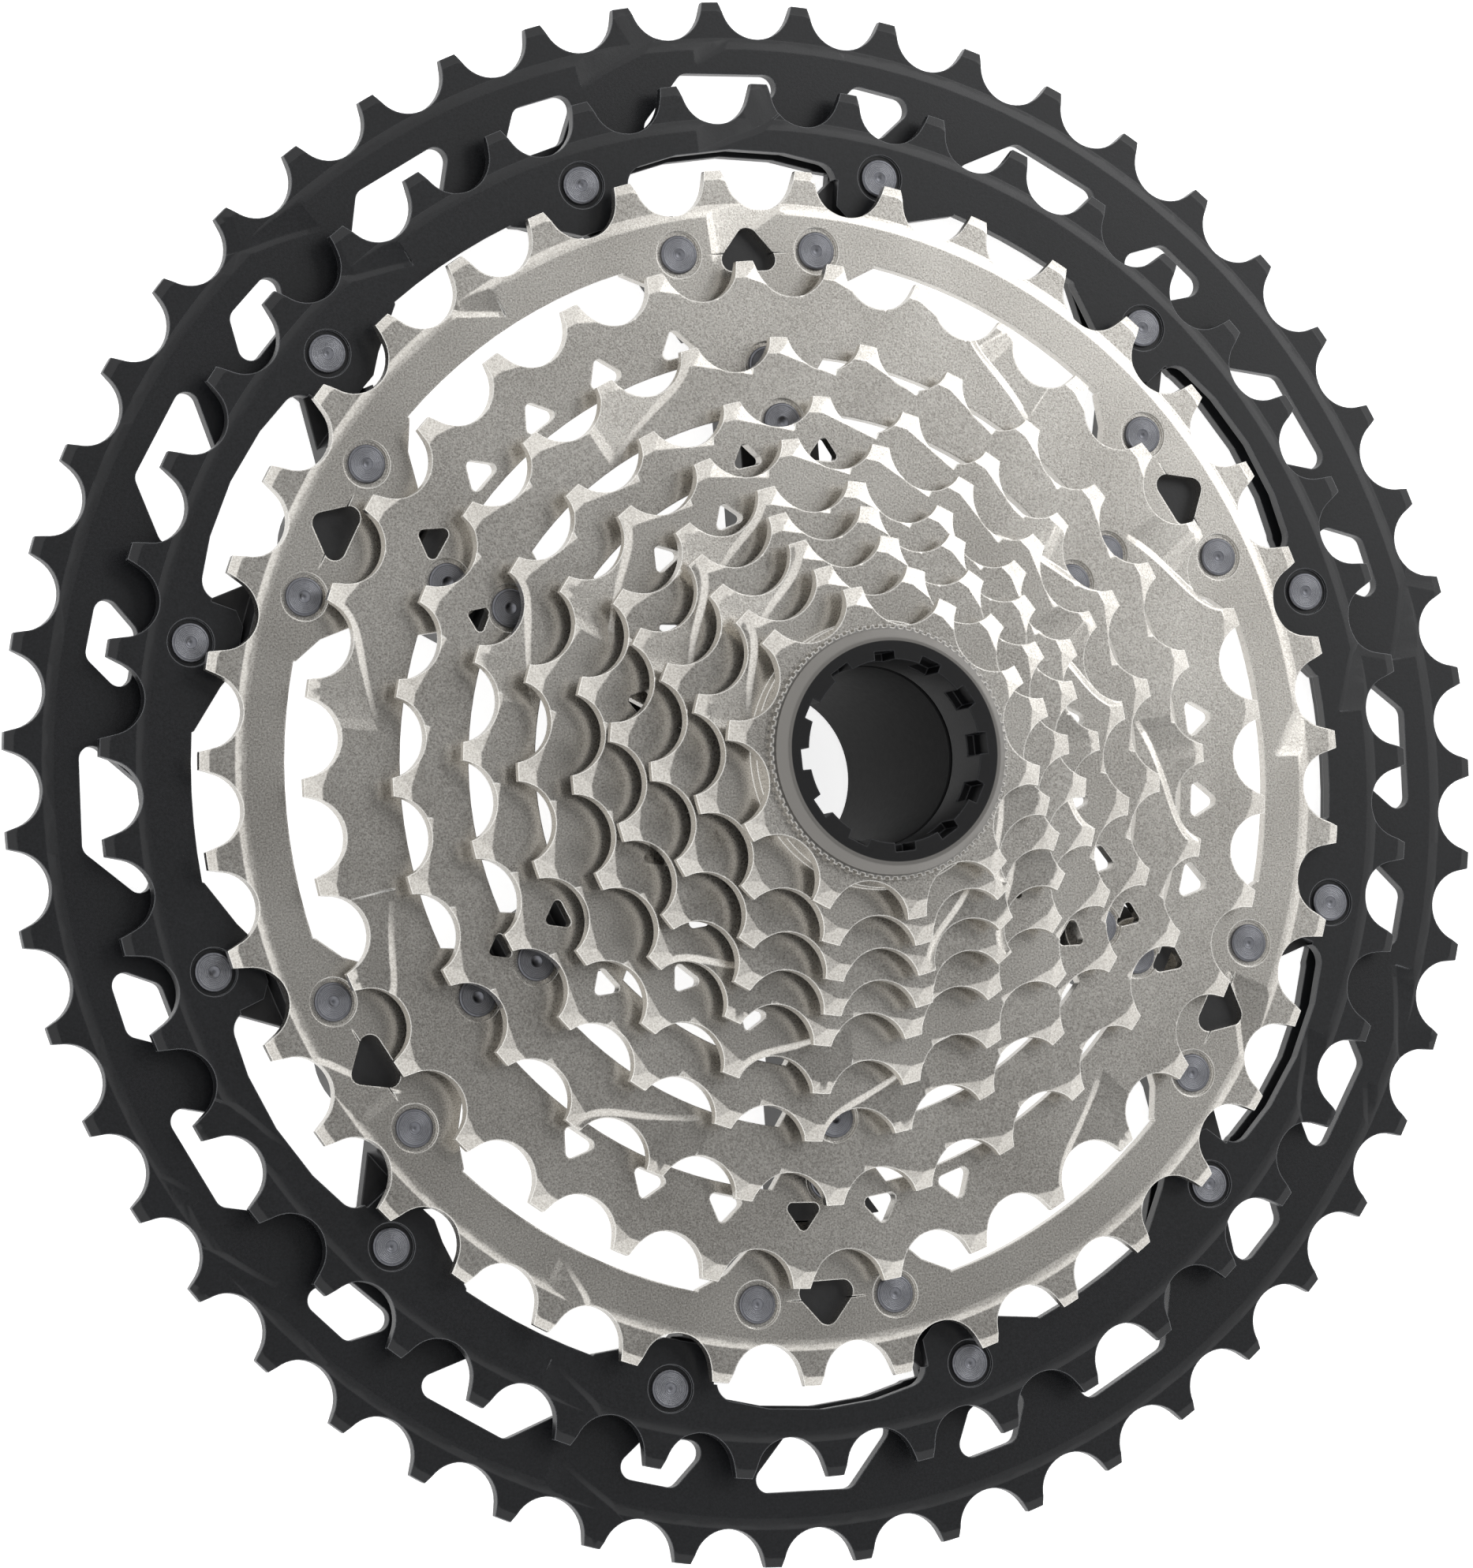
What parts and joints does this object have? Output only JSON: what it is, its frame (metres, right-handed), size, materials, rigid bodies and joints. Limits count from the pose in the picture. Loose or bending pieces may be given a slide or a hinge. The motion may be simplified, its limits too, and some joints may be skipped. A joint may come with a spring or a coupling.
{
  "type": "bicycle cassette sprocket",
  "caption": "Twelve-speed 10-51 tooth bicycle cassette: riveted sprockets on a six-armed spider, loose small sprockets, lockring and transit sleeve.",
  "frame": {"origin": "on the axle line, in the rear face of the 51-tooth sprocket", "axes": "+Z along the axle towards the lockring, +Y along one spider arm"},
  "size_m": [0.2082, 0.2081, 0.0473],
  "materials": {
    "blasted_steel": "fine bead-blasted nickel-plated steel",
    "black_alloy": "black anodised, fine bead-blasted",
    "black_spider": "satin black",
    "dark_rivet": "dark plated",
    "black_spacer": "matte",
    "lockring_black": "black anodised, satin bevel",
    "washer_steel": "satin",
    "sleeve_plastic": "smooth moulded"
  },
  "bodies": {
    "sprocket_stack": {"sprocket_51t": "black_alloy", "sprocket_45t": "black_alloy", "sprocket_39t": "blasted_steel", "sprocket_33t": "blasted_steel", "sprocket_28t": "blasted_steel", "sprocket_24t": "blasted_steel", "sprocket_21t": "blasted_steel", "sprocket_18t": "blasted_steel", "sprocket_16t": "blasted_steel", "sprocket_14t": "blasted_steel", "sprocket_12t": "blasted_steel", "sprocket_10t": "blasted_steel", "beam_spider": "black_spider", "rivets_45t": "dark_rivet", "rivets_39t": "dark_rivet", "rivets_33t": "dark_rivet", "rivets_28t": "dark_rivet", "rivets_24t": "dark_rivet", "spacer_21t_18t": "black_spacer", "spacer_18t_16t": "black_spacer", "spacer_16t_14t": "black_spacer", "spacer_14t_12t": "black_spacer"},
    "washer_body": {"lockring_washer": "washer_steel"},
    "lockring_body": {"lockring": "lockring_black"},
    "sleeve_body": {"transit_sleeve": "sleeve_plastic"}
  },
  "joints": [
    {"name": "washer_lift", "type": "slide", "parent": "sprocket_stack", "child": "washer_body", "axis": [0, 0, 1], "range_m": [0, 0.0075]},
    {"name": "lockring_turn", "type": "hinge", "parent": "washer_body", "child": "lockring_body", "pos_m": [0, 0, 0.0465], "axis": [0, 0, 1], "range_deg": [0, 2700]},
    {"name": "sleeve_slide", "type": "slide", "parent": "sprocket_stack", "child": "sleeve_body", "axis": [0, 0, 1], "range_m": [-0.045, 0]}
  ],
  "couplings": [
    {"joint": "washer_lift", "follows": "lockring_turn", "m_per_rad": 0.00015915}
  ]
}
